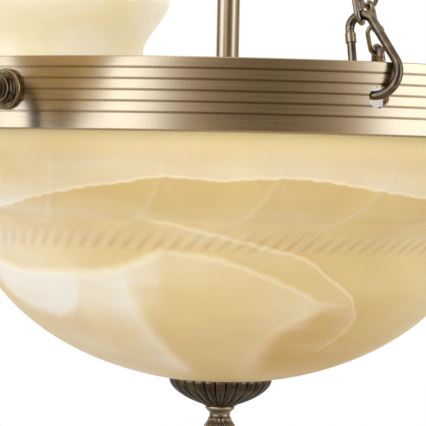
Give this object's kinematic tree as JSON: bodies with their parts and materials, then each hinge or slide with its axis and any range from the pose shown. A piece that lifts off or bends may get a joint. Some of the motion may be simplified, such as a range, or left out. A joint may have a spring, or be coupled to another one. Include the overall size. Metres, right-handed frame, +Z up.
{
  "type": "chandelier",
  "caption": "Ceiling chandelier: marbled glass bowl in a ribbed brass band, hung by chains with snap hooks from a stem, with up-facing bell shades on curved arms.",
  "frame": {"origin": "on the axis, at the ceiling plane, midway between the two ceiling screws", "axes": "+Z up, +X towards one of the three arms, -Y towards the viewer"},
  "size_m": [0.61, 0.6796, 0.7857],
  "materials": {
    "antique_brass": "brushed antique brass, lacquered",
    "dark_bronze": "dark bronze patina, worn on the edges",
    "marbled_glass": "satin, marbled cream and amber",
    "zinc_steel": "zinc plated",
    "gasket_rubber": "matt",
    "lampholder_shell": "ivory, satin",
    "terminal_plastic": "matt"
  },
  "bodies": {
    "chandelier": {"arm_lamp_contacts": "zinc_steel", "arm_lampholder_front_left": "lampholder_shell", "arm_lampholder_rear_left": "lampholder_shell", "arm_lampholder_right": "lampholder_shell", "arm_nuts": "zinc_steel", "arm_rosette_front_left": "dark_bronze", "arm_rosette_rear_left": "dark_bronze", "arm_rosette_right": "dark_bronze", "arm_tube_front_left": "antique_brass", "arm_tube_rear_left": "antique_brass", "arm_tube_right": "antique_brass", "arm_washers": "zinc_steel", "band": "antique_brass", "bowl_lamp_contacts": "zinc_steel", "bowl_lampholder_front_left": "lampholder_shell", "bowl_lampholder_rear_left": "lampholder_shell", "bowl_lampholder_right": "lampholder_shell", "bowl_nut": "zinc_steel", "bowl_rod": "zinc_steel", "bowl_washer": "gasket_rubber", "bracket_nipple": "zinc_steel", "bracket_nuts": "zinc_steel", "ceiling_bracket": "zinc_steel", "chain_front_right": "antique_brass", "chain_left": "antique_brass", "chain_rear_right": "antique_brass", "crown": "antique_brass", "crown_eyes": "antique_brass", "finial_dish": "dark_bronze", "finial_knob": "antique_brass", "gate_pins": "dark_bronze", "glass_bowl": "marbled_glass", "hook_body_front_right": "dark_bronze", "hook_body_left": "dark_bronze", "hook_body_rear_right": "dark_bronze", "lamp_hub": "zinc_steel", "lamp_tubes": "antique_brass", "rim_gasket": "gasket_rubber", "shade_cup_front_left": "antique_brass", "shade_cup_rear_left": "antique_brass", "shade_cup_right": "antique_brass", "shade_front_left": "marbled_glass", "shade_rear_left": "marbled_glass", "shade_right": "marbled_glass", "shade_ring_front_left": "lampholder_shell", "shade_ring_rear_left": "lampholder_shell", "shade_ring_right": "lampholder_shell", "stem_tube": "antique_brass", "terminal_block": "terminal_plastic"},
    "canopy": {"canopy": "antique_brass", "canopy_collar": "antique_brass", "collar_set_screw": "zinc_steel"},
    "gate_rear_right": {"hook_gate_rear_right": "dark_bronze"},
    "gate_left": {"hook_gate_left": "dark_bronze"},
    "gate_front_right": {"hook_gate_front_right": "dark_bronze"}
  },
  "joints": [
    {"name": "canopy_slide", "type": "slide", "parent": "chandelier", "child": "canopy", "axis": [0, 0, -1], "range_m": [0, 0.07]},
    {"name": "gate_hinge_rear_right", "type": "hinge", "parent": "chandelier", "child": "gate_rear_right", "pos_m": [0.08665, 0.16506, -0.55704], "axis": [-0.9281, -0.3172, -0.1949], "range_deg": [0, 18], "stiffness_Nm_per_rad": 0.05, "springref_deg": -20.05},
    {"name": "gate_hinge_left", "type": "hinge", "parent": "chandelier", "child": "gate_left", "pos_m": [-0.18622, 0.00878, -0.55704], "axis": [0.6797, -0.7071, -0.1949], "range_deg": [0, 18], "stiffness_Nm_per_rad": 0.05, "springref_deg": -20.05},
    {"name": "gate_hinge_front_right", "type": "hinge", "parent": "chandelier", "child": "gate_front_right", "pos_m": [0.08551, -0.16566, -0.55704], "axis": [0.2725, 0.9422, -0.1949], "range_deg": [0, 18], "stiffness_Nm_per_rad": 0.05, "springref_deg": -20.05}
  ]
}
